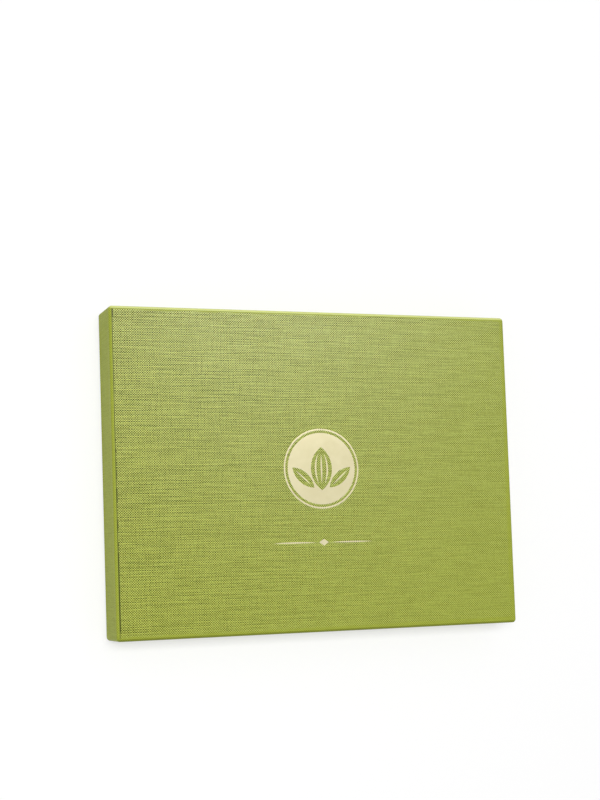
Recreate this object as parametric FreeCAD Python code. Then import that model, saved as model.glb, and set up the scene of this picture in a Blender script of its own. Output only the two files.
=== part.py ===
import FreeCAD, Part
import math
import os

# A flat gift box of chocolates: a rigid board base and a full-depth lift-off lid, both covered in paper.
# Inside stand interlocking card dividers, one praline in each cell, under a soft paper pad.
# Millimetres. The box lies on its underside: +X along its long side, +Z up through the lid,
# origin on the table under the middle of the box. The sizes build outwards from the cells to the lid.

# Cells and their dividers
cell_columns = 7
cell_rows = 5
cell_length = 35.7        # clear, along X
cell_width = 37.4         # clear, along Y
divider_card = 1.0
divider_end_gap = 0.4     # divider ends to the base's lining
slot_play = 0.12          # each side of a crossing divider
slot_depth_play = 0.15    # below and above the middle, where two slots meet

# Pralines: one per cell, of seven shapes
praline_room = 2.85       # least space from a praline to its divider
praline_headroom = 0.8    # tallest praline to the dividers' top edge
dome_height = 15.0
dome_lip = 3.0
block_inset = 1.6         # off the praline span, each side
block_height = 15.5
block_round = 1.8
truffle_diameter = 23.0
truffle_flat = 3.0        # depth of ball that its flat foot takes off
ingot_width = 18.0
ingot_height = 17.0
ingot_end_slope = 4.5
ingot_side_slope = 5.0
nut_cup_height = 11.5
nut_cup_draft = 2.6
nut_diameter = 13.5
nut_sink = 5.5            # depth of nut below the cup's rim
oval_width = 23.0
oval_height = 13.5
oval_round = 5.0
pyramid_inset = 1.2
pyramid_height = 15.0
pyramid_slope = 4.8

# Soft paper pad over the pralines
pad_thickness = 3.0
pad_side_gap = 0.8
pad_gap = 0.3             # under and over the pad
pad_corner_radius = 5.0

# Board, papers and folds, alike on lid and base
board = 1.5
wrap_paper = 0.2
stay_tape = 0.12          # gummed corner tape; the glue film under the wrap is as thick
lining_paper = 0.15
lining_gap = 0.6          # lining's edges to the board walls
bottom_paper = 0.2
board_edge_radius = 1.3   # panel to wall
board_corner_radius = 1.9
stay_leg = 14.0
lid_turn_in = 15.0        # wrap folded over the rim and up inside the wall
base_turn_in = 15.0
base_turn_under = 14.0    # base wrap folded under the bottom panel
bottom_paper_inset = 3.2  # bottom paper's edge to the outside of the base

# Lid on base
lid_fit = 0.5             # each side
lid_seat_gap = 0.2        # base rim to the lid's lining
rim_height = 1.0          # lid rim above the table

# Gold foil, stamped into the lid's paper
foil = 0.04
foil_recess = 0.03
emblem_rise = 1.3         # emblem's centre above the middle of the lid, along +Y
emblem_ring = 1.0
emblem_ring_gap = 1.6
emblem_field_margin = 3.1  # leaf tips to the edge of the round field
pod_length = 27.0
pod_width = 14.0
pod_rib_margin = 4.0      # pod's tips to its ribs' tips
pod_rib_width = 1.1
pod_rib_spread = 3.9      # side rib's middle from the pod's axis
pod_rib_tip = 1.9         # side rib's tips from the pod's axis
leaf_length = 19.0
leaf_width = 7.0
leaf_vein_margin = 3.0    # leaf's tips to its vein's tips
leaf_vein_width = 0.8
leaf_angle = 48.0         # from the pod's axis, degrees
leaf_gap = 5.2            # leaf's middle outwards from the pod's side
leaf_drop = 5.5           # leaf's middle below the emblem's centre
rule_drop = 44.6          # rule's middle below the middle of the lid
rule_length = 66.0
rule_thickness = 0.9
rule_gap = 2.0
lozenge_length = 6.4
lozenge_width = 4.2

# Plan sizes, from the cells outwards
base_clear_length = cell_columns * cell_length + (cell_columns - 1) * divider_card
base_clear_width = cell_rows * cell_width + (cell_rows - 1) * divider_card
board_face = wrap_paper + stay_tape
wall = board_face + board + wrap_paper
base_length = base_clear_length + 2 * wall
base_width = base_clear_width + 2 * wall
lid_length = base_length + 2 * lid_fit + 2 * wall
lid_width = base_width + 2 * lid_fit + 2 * wall
praline_span = min(cell_length, cell_width) - 2 * praline_room

# Heights, from the table up
truffle_height = truffle_diameter - truffle_flat
nut_cup_top = nut_cup_height - nut_sink + nut_diameter
tallest_praline = max(dome_height, block_height, truffle_height, ingot_height,
                      nut_cup_height, nut_cup_top, oval_height, pyramid_height)
floor_z = bottom_paper + board_face + board + lining_paper
divider_height = tallest_praline + praline_headroom
pad_z = floor_z + divider_height + pad_gap
ceiling_z = pad_z + pad_thickness + pad_gap
base_rim_z = ceiling_z - lid_seat_gap
lid_top_z = ceiling_z + lining_paper + board + board_face
lid_depth = lid_top_z - rim_height

# Emblem, from the pod outwards
pod_rib_length = pod_length - 2 * pod_rib_margin
leaf_vein_length = leaf_length - 2 * leaf_vein_margin
leaf_offset = pod_width / 2 + leaf_gap
leaf_tip_x = leaf_offset + leaf_length / 2 * math.sin(math.radians(leaf_angle))
leaf_tip_y = leaf_length / 2 * math.cos(math.radians(leaf_angle)) - leaf_drop
field_diameter = 2 * (max(math.hypot(leaf_tip_x, leaf_tip_y), pod_length / 2) + emblem_field_margin)
ring_inner_diameter = field_diameter + 2 * emblem_ring_gap
ring_diameter = ring_inner_diameter + 2 * emblem_ring

UP = FreeCAD.Vector(0, 0, 1)
OVERCUT = 1.0


def point(x, y, z=0.0):
    return FreeCAD.Vector(x, y, z)


def plate(length, width, z_low, z_high):
    """Plain block centred on the Z axis."""
    return Part.makeBox(length, width, z_high - z_low, point(-length / 2, -width / 2, z_low))


def rounded_plate(length, width, z_low, z_high, corner_radius):
    """Block with its four upright edges rounded."""
    block = plate(length, width, z_low, z_high)
    upright = [e for e in block.Edges if abs(e.tangentAt(e.FirstParameter).z) > 0.5]
    return block.makeFillet(corner_radius, upright)


def rounded_tub(length, width, z_low, z_high, corner_radius, edge_radius):
    """Block with rounded upright edges and a smaller round all along its lower edge."""
    block = rounded_plate(length, width, z_low, z_high, corner_radius)
    lower = [e for e in block.Edges if e.BoundBox.ZMax < (z_low + z_high) / 2]
    return block.makeFillet(min(edge_radius, 0.95 * corner_radius), lower)


def covered_tray(length, width, height, turn_in, turn_under=None):
    """Board tray, its corner tapes, its paper cover and its lining, open upwards, outside of panel at z = 0.

    The cover goes over the rim and down inside the walls by turn_in. With turn_under it wraps only
    that far under the panel, and otherwise it covers the whole panel.
    """
    rim = height - wrap_paper
    board_length = length - 2 * board_face
    board_width = width - 2 * board_face
    inner_length = board_length - 2 * board
    inner_width = board_width - 2 * board
    inner_floor = board_face + board
    tray = rounded_tub(board_length, board_width, board_face, rim, board_corner_radius, board_edge_radius)
    tray = tray.cut(plate(inner_length, inner_width, inner_floor, rim + OVERCUT))

    tape_low = board_face + board_edge_radius
    tape = rounded_plate(board_length + 2 * stay_tape, board_width + 2 * stay_tape, tape_low, rim,
                         board_corner_radius + stay_tape)
    tape = tape.cut(rounded_plate(board_length, board_width, tape_low - OVERCUT, rim + OVERCUT,
                                  board_corner_radius))
    stays = []
    for x_side in (-1, 1):
        for y_side in (-1, 1):
            corner = plate(2 * stay_leg, 2 * stay_leg, 0, height)
            corner.translate(point(x_side * board_length / 2, y_side * board_width / 2))
            stays.extend(tape.common(corner).Solids)

    cover = rounded_tub(length, width, 0, height, board_corner_radius + board_face,
                        board_edge_radius + board_face)
    cover = cover.cut(rounded_tub(length - 2 * wrap_paper, width - 2 * wrap_paper, wrap_paper, rim,
                                  board_corner_radius + stay_tape, board_edge_radius + stay_tape))
    mouth = plate(inner_length - 2 * wrap_paper, inner_width - 2 * wrap_paper, rim - turn_in - OVERCUT,
                  height + OVERCUT)
    hem = plate(inner_length, inner_width, rim - turn_in, rim)
    cover = cover.fuse(hem).cut(mouth).removeSplitter()
    if turn_under is not None:
        window = plate(length - 2 * turn_under, width - 2 * turn_under, -OVERCUT, wrap_paper + OVERCUT)
        cover = cover.cut(window)

    lining = plate(inner_length - 2 * lining_gap, inner_width - 2 * lining_gap, inner_floor,
                   inner_floor + lining_paper)
    return {"board": tray, "corner_stays": Part.makeCompound(stays), "wrap": cover, "lining": lining}


def face_between(*edges):
    return Part.Face(Part.Wire(edges))


def lens(length, width):
    """Pointed oval along Y: two equal arcs that meet at its tips."""
    low = point(0, -length / 2)
    high = point(0, length / 2)
    right = Part.Arc(low, point(width / 2, 0), high).toShape()
    left = Part.Arc(high, point(-width / 2, 0), low).toShape()
    return face_between(right, left)


def crescent(length, tip, outer, inner):
    """Sickle along Y between two arcs with the same tips; tip, outer and inner are their distances from Y."""
    low = point(tip, -length / 2)
    high = point(tip, length / 2)
    far = Part.Arc(low, point(outer, 0), high).toShape()
    near = Part.Arc(high, point(inner, 0), low).toShape()
    return face_between(far, near)


def disc(diameter):
    return Part.Face(Part.Wire(Part.makeCircle(diameter / 2)))


def polygon(*corners):
    return Part.Face(Part.makePolygon([point(x, y) for x, y in corners + corners[:1]]))


def placed(shape, x, y, angle=0.0):
    moved = shape.copy()
    moved.rotate(point(0, 0), UP, angle)
    moved.translate(point(x, y))
    return moved


def emblem_faces():
    """Round medallion: a thin ring, and a disc with a cocoa pod and two leaves left out of it."""
    ring = disc(ring_diameter).cut(disc(ring_inner_diameter))
    field = disc(field_diameter).cut(lens(pod_length, pod_width))
    faces = [ring, lens(pod_rib_length, pod_rib_width)]
    for side in (-1, 1):
        faces.append(crescent(pod_rib_length, side * pod_rib_tip, side * (pod_rib_spread + pod_rib_width / 2),
                              side * (pod_rib_spread - pod_rib_width / 2)))
        place = (side * leaf_offset, -leaf_drop, -side * leaf_angle)
        field = field.cut(placed(lens(leaf_length, leaf_width), *place))
        faces.append(placed(lens(leaf_vein_length, leaf_vein_width), *place))
    faces.append(field)
    return [placed(face, 0, emblem_rise) for face in faces]


def rule_faces():
    """Two tapering strokes in line, with a lozenge between them."""
    stroke = (rule_length - lozenge_length) / 2 - rule_gap
    middle = lozenge_length / 2 + rule_gap + stroke / 2
    half_length = lozenge_length / 2
    half_width = lozenge_width / 2
    lozenge = polygon((half_length, 0), (0, half_width), (-half_length, 0), (0, -half_width))
    faces = [placed(lens(stroke, rule_thickness), side * middle, 0, 90) for side in (-1, 1)]
    return [placed(face, 0, -rule_drop) for face in faces + [lozenge]]


def stamped(faces, z_low, thickness):
    """Solids of the given thickness that stand on the faces, moved up to z_low."""
    solids = []
    for face in faces:
        solid = face.extrude(UP * thickness)
        solid.translate(UP * z_low)
        solids.extend(solid.Solids)
    return Part.makeCompound(solids)


def turned(*edges):
    """Solid of revolution about Z of a profile in the XZ plane."""
    return face_between(*edges).revolve(point(0, 0), UP, 360)


def line(start, end):
    return Part.makeLine(point(start[0], 0, start[1]), point(end[0], 0, end[1]))


def dome_praline():
    """Round foot with a straight lip under a spherical cap."""
    foot = praline_span / 2
    rise = dome_height - dome_lip
    ball = (foot ** 2 + rise ** 2) / (2 * rise)
    half_angle = math.atan2(foot, ball - rise) / 2
    on_cap = point(ball * math.sin(half_angle), 0, dome_height - ball + ball * math.cos(half_angle))
    cap = Part.Arc(point(foot, 0, dome_lip), on_cap, point(0, 0, dome_height)).toShape()
    return turned(line((0, 0), (foot, 0)), line((foot, 0), (foot, dome_lip)), cap,
                  line((0, dome_height), (0, 0)))


def block_praline():
    """Square block with soft upright and upper edges."""
    side = praline_span - 2 * block_inset
    block = plate(side, side, 0, block_height)
    soft = [e for e in block.Edges if e.BoundBox.ZMax > block_height / 2]
    return block.makeFillet(min(block_round, 0.45 * block_height, 0.45 * side), soft)


def truffle():
    """Ball on a flat foot."""
    radius = truffle_diameter / 2
    ball = Part.makeSphere(radius, point(0, 0, radius - truffle_flat))
    return ball.common(plate(truffle_diameter + OVERCUT, truffle_diameter + OVERCUT, 0,
                             truffle_diameter + OVERCUT))


def frustum(length, width, end_slope, side_slope, height):
    """Four-sided block that narrows upwards by end_slope and side_slope."""
    def outline(half_length, half_width, z):
        return Part.makePolygon([point(x * half_length, y * half_width, z)
                                 for x, y in ((-1, -1), (1, -1), (1, 1), (-1, 1), (-1, -1))])
    low = outline(length / 2, width / 2, 0)
    high = outline(length / 2 - end_slope, width / 2 - side_slope, height)
    return Part.makeLoft([low, high], True, True)


def gianduja_ingot():
    """Long block with sloping sides and ends, like an upturned boat."""
    return frustum(praline_span, ingot_width, ingot_end_slope, ingot_side_slope, ingot_height)


def hazelnut_cup():
    """Round cup that widens upwards, with a whole nut set in its filling."""
    rim = praline_span / 2
    cup = Part.makeCone(rim - nut_cup_draft, rim, nut_cup_height)
    nut = Part.makeSphere(nut_diameter / 2, point(0, 0, nut_cup_top - nut_diameter / 2))
    return cup.fuse(nut)


def oval_praline():
    """Oval button with a broadly rounded upper edge."""
    outline = Part.Wire(Part.Ellipse(point(0, 0), praline_span / 2, oval_width / 2).toShape())
    button = Part.Face(outline).extrude(UP * oval_height)
    top = [e for e in button.Edges if e.BoundBox.ZMin > oval_height / 2]
    return button.makeFillet(min(oval_round, 0.8 * oval_height, 0.5 * oval_width), top)


def pyramid_praline():
    """Square block that narrows to a flat top."""
    side = praline_span - 2 * pyramid_inset
    return frustum(side, side, pyramid_slope, pyramid_slope, pyramid_height)


PRALINES = (("dome_praline", dome_praline), ("layered_block", block_praline), ("truffle", truffle),
            ("gianduja_ingot", gianduja_ingot), ("hazelnut_cup", hazelnut_cup),
            ("oval_praline", oval_praline), ("pyramid_praline", pyramid_praline))


def divider(length, crossings, from_top):
    """Card strip along X on the base's lining, with half-depth slots at the crossings."""
    strip = plate(length, divider_card, floor_z, floor_z + divider_height)
    middle = floor_z + divider_height / 2
    slot_width = divider_card + 2 * slot_play
    for x in crossings:
        if from_top:
            slot = plate(slot_width, divider_card + OVERCUT, middle - slot_depth_play,
                         floor_z + divider_height + OVERCUT)
        else:
            slot = plate(slot_width, divider_card + OVERCUT, floor_z - OVERCUT, middle + slot_depth_play)
        slot.translate(point(x, 0))
        strip = strip.cut(slot)
    return strip


parts = {}

# Base: covered tray, with a plain paper over the folded-under edges
base = covered_tray(base_length, base_width, base_rim_z - bottom_paper, base_turn_in, base_turn_under)
for name, shape in base.items():
    shape.translate(UP * bottom_paper)
    parts["base_" + name] = shape
parts["base_bottom_paper"] = plate(base_length - 2 * bottom_paper_inset, base_width - 2 * bottom_paper_inset,
                                   0, bottom_paper)

# Dividers: the long ones slotted from above, the cross ones from below
column_pitch = cell_length + divider_card
row_pitch = cell_width + divider_card
cross_places = [(i - cell_columns / 2) * column_pitch for i in range(1, cell_columns)]
long_places = [(i - cell_rows / 2) * row_pitch for i in range(1, cell_rows)]
for i, y in enumerate(long_places, 1):
    strip = divider(base_clear_length - 2 * divider_end_gap, cross_places, True)
    parts["long_divider_%d" % i] = placed(strip, 0, y)
for i, x in enumerate(cross_places, 1):
    strip = divider(base_clear_width - 2 * divider_end_gap, long_places, False)
    parts["cross_divider_%d" % i] = placed(strip, x, 0, 90)

# Pralines: every row holds each shape once, in an order that shifts from row to row
row_shift = len(PRALINES) // 3
for row in range(cell_rows):
    for column in range(cell_columns):
        name, make = PRALINES[(column + row_shift * row) % len(PRALINES)]
        praline = placed(make(), (column - (cell_columns - 1) / 2) * column_pitch,
                         ((cell_rows - 1) / 2 - row) * row_pitch)
        praline.translate(UP * floor_z)
        number = 1
        while "%s_%d" % (name, number) in parts:
            number += 1
        parts["%s_%d" % (name, number)] = praline

# Pad
parts["cushion_pad"] = rounded_plate(base_clear_length - 2 * pad_side_gap, base_clear_width - 2 * pad_side_gap,
                                     pad_z, pad_z + pad_thickness, pad_corner_radius)

# Lid: the same covered tray upside down, with foil set into its paper
lid = covered_tray(lid_length, lid_width, lid_depth, lid_turn_in)
for name, shape in lid.items():
    shape.rotate(point(0, 0), point(1, 0), 180)
    shape.translate(UP * lid_top_z)
    parts["lid_" + name] = shape
for name, faces in (("foil_emblem", emblem_faces()), ("foil_rule", rule_faces())):
    parts[name] = stamped(faces, lid_top_z - foil_recess - foil, foil)
    parts["lid_wrap"] = parts["lid_wrap"].cut(stamped(faces, lid_top_z - foil_recess - foil, foil + OVERCUT))

os.makedirs("parts", exist_ok=True)
for name, shape in parts.items():
    if not shape.isValid():
        raise ValueError(name + " is not a valid shape")
    shape.exportStep("parts/%s.step" % name)
print("%d parts; lid %.2f x %.2f mm, top at %.2f mm; base %.2f x %.2f mm, rim at %.2f mm; praline span %.2f mm"
      % (len(parts), lid_length, lid_width, lid_top_z, base_length, base_width, base_rim_z, praline_span))
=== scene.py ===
import math

import bmesh
import bpy
import numpy as np
from mathutils import Matrix, Vector


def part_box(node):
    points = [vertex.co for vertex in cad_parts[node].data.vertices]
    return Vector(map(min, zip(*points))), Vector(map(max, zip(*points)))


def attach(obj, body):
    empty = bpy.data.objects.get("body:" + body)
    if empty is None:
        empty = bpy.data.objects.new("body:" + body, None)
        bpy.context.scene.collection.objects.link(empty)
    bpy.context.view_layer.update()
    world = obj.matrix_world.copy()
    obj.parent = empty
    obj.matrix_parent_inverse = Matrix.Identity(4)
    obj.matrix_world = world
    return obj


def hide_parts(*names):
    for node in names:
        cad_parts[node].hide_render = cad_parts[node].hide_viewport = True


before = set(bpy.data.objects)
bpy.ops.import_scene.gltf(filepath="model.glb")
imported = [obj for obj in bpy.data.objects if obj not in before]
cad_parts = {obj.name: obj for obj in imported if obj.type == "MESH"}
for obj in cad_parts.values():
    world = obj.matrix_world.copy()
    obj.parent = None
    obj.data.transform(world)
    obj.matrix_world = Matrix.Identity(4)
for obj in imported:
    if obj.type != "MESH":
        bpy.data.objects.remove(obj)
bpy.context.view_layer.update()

# Base tray: one blank of grey recycled board, 1.5 mm thick, scored and folded up into four walls.
# Its pulp is mixed waste paper, so it is cloudy, with paler and darker fibres in it.


def srgb(red, green, blue):
    """Linear colour of a screen colour given from 0 to 255."""
    screen = np.array((red, green, blue)) / 255
    linear = np.where(screen <= 0.04045, screen / 12.92, ((screen + 0.055) / 1.055) ** 2.4)
    return (*linear.tolist(), 1.0)


def add_node(tree, kind, values=None, **settings):
    """A new shader node. A value that is a socket is linked to its input, any other is set on it."""
    made = tree.nodes.new("ShaderNode" + kind)
    for key, value in settings.items():
        setattr(made, key, value)
    for key, value in (values or {}).items():
        if isinstance(value, bpy.types.NodeSocket):
            tree.links.new(value, made.inputs[key])
        else:
            made.inputs[key].default_value = value
    return made


def use_group(tree, group, values):
    """A group's node with its inputs filled in; gives its outputs."""
    return add_node(tree, "Group", values, node_tree=group).outputs


def calculate(tree, operation, *values):
    """One step of arithmetic."""
    return add_node(tree, "Math", dict(enumerate(values)), operation=operation).outputs[0]


def ramp(tree, value, low, high, to_low=0.0, to_high=1.0):
    """Smooth step of a value between low and high, clamped."""
    values = {"Value": value, "From Min": low, "From Max": high, "To Min": to_low, "To Max": to_high}
    return add_node(tree, "MapRange", values, interpolation_type="SMOOTHSTEP").outputs[0]


def mixed(tree, share, first, second):
    """A mix of two colours; share is the second one's part in it."""
    return add_node(tree, "Mix", {0: share, 6: first, 7: second}, data_type="RGBA").outputs[2]


def noise(tree, vector, scale, detail=2.0, roughness=0.5):
    """A cloudy value of about 0 to 1, with scale clouds to the unit."""
    values = {"Vector": vector, "Scale": scale, "Detail": detail, "Roughness": roughness}
    return add_node(tree, "TexNoise", values).outputs["Fac"]


def new_group(name, place, value, *outputs):
    """An empty shader node group that takes a place and a value; gives its tree, inputs and outputs."""
    tree = bpy.data.node_groups.new(name, "ShaderNodeTree")
    tree.interface.new_socket(place, in_out="INPUT", socket_type="NodeSocketVector")
    tree.interface.new_socket(value, in_out="INPUT", socket_type="NodeSocketFloat")
    for output in outputs:
        tree.interface.new_socket(output, in_out="OUTPUT", socket_type="NodeSocketFloat")
    return tree, tree.nodes.new("NodeGroupInput").outputs, tree.nodes.new("NodeGroupOutput").inputs


def new_material(name, roughness):
    """A material with one Principled shader; gives the material, its tree and the shader's inputs."""
    material = bpy.data.materials.new(name)
    material.use_nodes = True
    shader = material.node_tree.nodes["Principled BSDF"].inputs
    shader["Roughness"].default_value = roughness
    return material, material.node_tree, shader


def object_place(tree):
    """Place in metres along the object's own axes."""
    return add_node(tree, "TexCoord").outputs["Object"]


def raise_surface(tree, shader, height, relief):
    """Bumps the shader's normal by a height of 0 to 1 that stands for relief metres."""
    bump = add_node(tree, "Bump", {"Height": height, "Strength": 1.0, "Distance": relief})
    tree.links.new(bump.outputs[0], shader["Normal"])


# Paper pulp: Clouds are the uneven formation of the sheet, Fibres the hairs of another colour in it,
# and Height the felt-like surface that both leave. Size is the length of a cloud in metres.
paper_pulp, pulp_in, pulp_out = new_group("paper_pulp", "Place", "Size", "Clouds", "Fibres", "Height")
fibres_per_cloud = 9.0
cloud_scale = calculate(paper_pulp, "DIVIDE", 1.0, pulp_in["Size"])
fibre_scale = calculate(paper_pulp, "MULTIPLY", cloud_scale, fibres_per_cloud)
clouds = noise(paper_pulp, pulp_in["Place"], cloud_scale, 3.0, 0.6)
curled = {"Vector": pulp_in["Place"], "Scale": fibre_scale, "Detail": 2.0, "Distortion": 2.5}
hairs = add_node(paper_pulp, "TexNoise", curled).outputs["Fac"]
felt = calculate(paper_pulp, "MULTIPLY_ADD", hairs, 0.6, calculate(paper_pulp, "MULTIPLY", clouds, 0.4))
paper_pulp.links.new(ramp(paper_pulp, clouds, 0.25, 0.75), pulp_out["Clouds"])
paper_pulp.links.new(ramp(paper_pulp, hairs, 0.56, 0.70), pulp_out["Fibres"])
paper_pulp.links.new(felt, pulp_out["Height"])


def paper_material(name, colour, cloud_colour, fibre_colour, fibre_share, size, roughness, relief):
    """Paper or board whose colour drifts to cloud_colour and holds fibres of a third colour."""
    material, tree, shader = new_material(name, roughness)
    pulp = use_group(tree, paper_pulp, {"Place": object_place(tree), "Size": size})
    cloudy = mixed(tree, pulp["Clouds"], srgb(*colour), srgb(*cloud_colour))
    fibres = calculate(tree, "MULTIPLY", pulp["Fibres"], fibre_share)
    tree.links.new(mixed(tree, fibres, cloudy, srgb(*fibre_colour)), shader["Base Color"])
    shader["Specular IOR Level"].default_value = 0.3
    raise_surface(tree, shader, pulp["Height"], relief)
    return material


def dress(material, *names):
    """Gives CAD nodes that keep their own shape a new material."""
    for name in names:
        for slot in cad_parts[name].material_slots:
            slot.material = material


greyboard = paper_material("greyboard", (158, 152, 142), (176, 170, 160), (112, 106, 98),
                           fibre_share=0.7, size=0.006, roughness=0.85, relief=0.00006)
dress(greyboard, "base_board")

# Base corner tapes: four strips of gummed brown kraft paper that hold the folded walls together.
# The dried gum leaves them a little glossier than the board.

kraft = paper_material("gummed_kraft", (176, 134, 88), (190, 150, 104), (140, 102, 62),
                       fibre_share=0.6, size=0.004, roughness=0.55, relief=0.00003)
dress(kraft, "base_corner_stays")

# Base cover: a sheet of pearly lime paper, pressed with a linen weave, glued round the tray.
# It goes under the bottom, up the walls, over the rim and 15 mm down inside.

sheet_paper = 0.0002
glue_film = 0.00012
board_thickness = 0.0015
cover_corner_round = 0.00222
cover_edge_round = 0.00162
cover_turn_in = 0.015
base_turn_under = 0.014
rim_round = 0.0003
flat_rows, fold_lead, wall_lead, fold_reach = 3, 0.0004, 0.0005, 0.0015
base_grid = 0.008
# The last value is a weak painted highlight all along the base cover's bottom fold.
wall_press, fold_press, base_fold_highlight = 0.45, 0.3, 0.2
weave_pitch, weave_relief = 0.00074, 0.00006
waver_length, waver_reach, warp_share = 20, (0.9, 0.3, 0.0), 0.85
weft_rows, weft_proud = (0.022, 0.32, 0.0), 0.43
warp_rows, warp_proud = (0.30, 0.04, 0.0), 0.24
weft_slub, warp_slub, slub_apart = 0.045, 0.07, 5.37
# First colour: painted shade in the weave's pits. Second: painted highlight on its crests; the paper's own
# lime lies between them. Third: painted highlight along the folds.
pit_shade_lime, crest_lit_lime, fold_highlight_lime = (32, 40, 0), (187, 198, 71), (212, 220, 134)


def arc(along, up, radius, start, end, steps=7):
    """Points of a circle's arc in the plane of a profile, from start to end degrees."""
    angle = np.radians(np.linspace(start, end, steps))
    return np.stack([along + radius * np.cos(angle), up + radius * np.sin(angle)], axis=1)


def run(start, end, steps=2):
    """Points of a straight stretch of a profile."""
    return np.linspace(start, end, steps)


def rounded_path(lines_x, lines_y, corner_steps=8):
    """Points round a rectangle at the given grid lines, clockwise from above, and their outward directions.

    At each corner the point is repeated while its direction turns through a right angle. Two more arrays
    lay the sheet out flat: the outward direction of the nearer side's flap, and how far the turn has gone
    along it. The two flaps meet half way round the corner, so that place comes twice.
    """
    places, directions, flaps, turns = [], [], [], []
    for side, lines in enumerate((lines_x, -lines_y[::-1], -lines_x[::-1], lines_y)):
        heading = math.radians(90 - 90 * side)
        outward = np.array([math.cos(heading), math.sin(heading)])
        forward = np.array([outward[1], -outward[0]])
        fixed = outward * (lines_x[-1], lines_y[-1])
        straight = fixed + lines[:, None] * forward
        quarter = np.linspace(0, math.pi / 2, corner_steps + 1)[1:-1, None]
        first, second = quarter[:corner_steps // 2], quarter[corner_steps // 2 - 1:]
        turn = np.concatenate([first, second])
        places += [straight, np.repeat(straight[-1:], len(turn), axis=0)]
        directions += [np.repeat(outward[None], len(lines), axis=0),
                       np.cos(turn) * outward + np.sin(turn) * forward]
        flaps += [np.repeat(outward[None], len(lines) + len(first), axis=0),
                  np.repeat(forward[None], len(second), axis=0)]
        turns += [np.zeros((len(lines), 2)), first * forward, (math.pi / 2 - second) * outward]
    return [np.concatenate(part) for part in (places, directions, flaps, turns)]


def grid_faces(rows, columns, start=0, close_rows=False, close_columns=False):
    """Quads of a grid of vertices that are numbered row by row; a closed direction joins its ends."""
    row, column = np.meshgrid(np.arange(rows if close_rows else rows - 1),
                              np.arange(columns if close_columns else columns - 1), indexing="ij")
    row_after = (row + 1) % rows
    column_after = (column + 1) % columns
    corners = (row * columns + column, row * columns + column_after,
               row_after * columns + column_after, row_after * columns + column)
    return start + np.stack(corners, axis=-1).reshape(-1, 4)


def new_piece(name, points, faces, materials, face_material=None, sharp=40.0, uv=None, **values):
    """A closed mesh at the origin: equal points welded, faces outwards, smooth up to the sharp angle."""
    mesh = bpy.data.meshes.new(name)
    mesh.from_pydata(points.reshape(-1, 3), [], faces)
    for key, value in values.items():
        spread = mesh.attributes.new(key, "FLOAT", "POINT").data
        spread.foreach_set("value", np.ravel(value).astype(np.float32))
    if uv is not None:
        corner_vertex = np.empty(len(mesh.loops), dtype=np.int32)
        mesh.loops.foreach_get("vertex_index", corner_vertex)
        mesh.uv_layers.new(name="sheet").uv.foreach_set("vector", uv.reshape(-1, 2)[corner_vertex].ravel())
    if face_material is not None:
        mesh.polygons.foreach_set("material_index", np.asarray(face_material, dtype=np.int32))
    shell = bmesh.new()
    shell.from_mesh(mesh)
    bmesh.ops.remove_doubles(shell, verts=shell.verts, dist=1e-6)
    if shell.calc_volume(signed=True) < 0:
        bmesh.ops.reverse_faces(shell, faces=shell.faces)
    shell.to_mesh(mesh)
    shell.free()
    mesh.shade_smooth()
    mesh.set_sharp_from_angle(angle=math.radians(sharp))
    for material in materials:
        mesh.materials.append(material)
    piece = bpy.data.objects.new(name, mesh)
    bpy.context.collection.objects.link(piece)
    return piece


def smooth_step(value, low, high):
    """0 up to low, 1 from high on, and 3 s^2 - 2 s^3 between, with s the share of the way."""
    share = np.clip((value - low) / (high - low), 0, 1)
    return share * share * (3 - 2 * share)


def carried(path, directions, half, profile, inset=0.0):
    """A profile of (outward, up) points carried round a path; outward below 0 mitres the corners."""
    outward = profile[:, None, :1] - inset
    limit = half + np.minimum(outward, 0)
    flat = np.clip(path, -limit, limit) + np.maximum(outward, 0) * directions
    height = np.broadcast_to(profile[:, None, 1:], (*flat.shape[:2], 1))
    return np.concatenate([flat, height], axis=2)


def travelled(profile):
    """Length along a profile from its first point."""
    return np.concatenate([[0], np.cumsum(np.linalg.norm(np.diff(profile, axis=0), axis=1))])


def laid_flat(path, flaps, turns, profile):
    """Place on the flat sheet: out from the path on the nearer flap, and along that flap at the corners."""
    out = travelled(profile)[:, None, None]
    return path + out * flaps + np.minimum(out, cover_corner_round) * turns


# Linen weave, pressed into a sheet: a plain weave of threads that waver, with knots of uneven size, and
# slubs, the thick lengths of thread. Sheet is the place on the flat sheet in metres, Depth how far it is
# pressed. Height is its relief, and Crests the threads that stand up; a deeper press lowers Crests as a
# whole, which the paper shows as darker painted shade in the pits.
linen_weave, linen_in, linen_out = new_group("linen_weave", "Sheet", "Depth", "Height", "Crests")
threads = add_node(linen_weave, "VectorMath", {0: linen_in["Sheet"], "Scale": 1 / weave_pitch},
                   operation="SCALE").outputs[0]
bends = {"Vector": threads, "Scale": 1 / waver_length, "Detail": 1.0}
waver = add_node(linen_weave, "TexNoise", bends).outputs["Color"]
shifted = add_node(linen_weave, "VectorMath", {0: waver, 1: waver_reach, 2: threads},
                   operation="MULTIPLY_ADD").outputs[0]
across = add_node(linen_weave, "SeparateXYZ", {0: shifted}).outputs
warp = calculate(linen_weave, "COSINE", calculate(linen_weave, "MULTIPLY", across["X"], math.pi))
weft = calculate(linen_weave, "COSINE", calculate(linen_weave, "MULTIPLY", across["Y"], math.pi))


def proud_rows(stretch, amount):
    """Where every other thread of a set stands proud: a noise drawn out along them, from -amount to amount.

    A shallow press shows less of it.
    """
    place = add_node(linen_weave, "VectorMath", {0: threads, 1: stretch}, operation="MULTIPLY").outputs[0]
    rows = ramp(linen_weave, noise(linen_weave, place, 1.0, 1.0), 0.3, 0.7, -amount, amount)
    shown = ramp(linen_weave, linen_in["Depth"], 0.6, 0.9, 0.4, 1.0)
    return calculate(linen_weave, "MULTIPLY", rows, shown)


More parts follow.
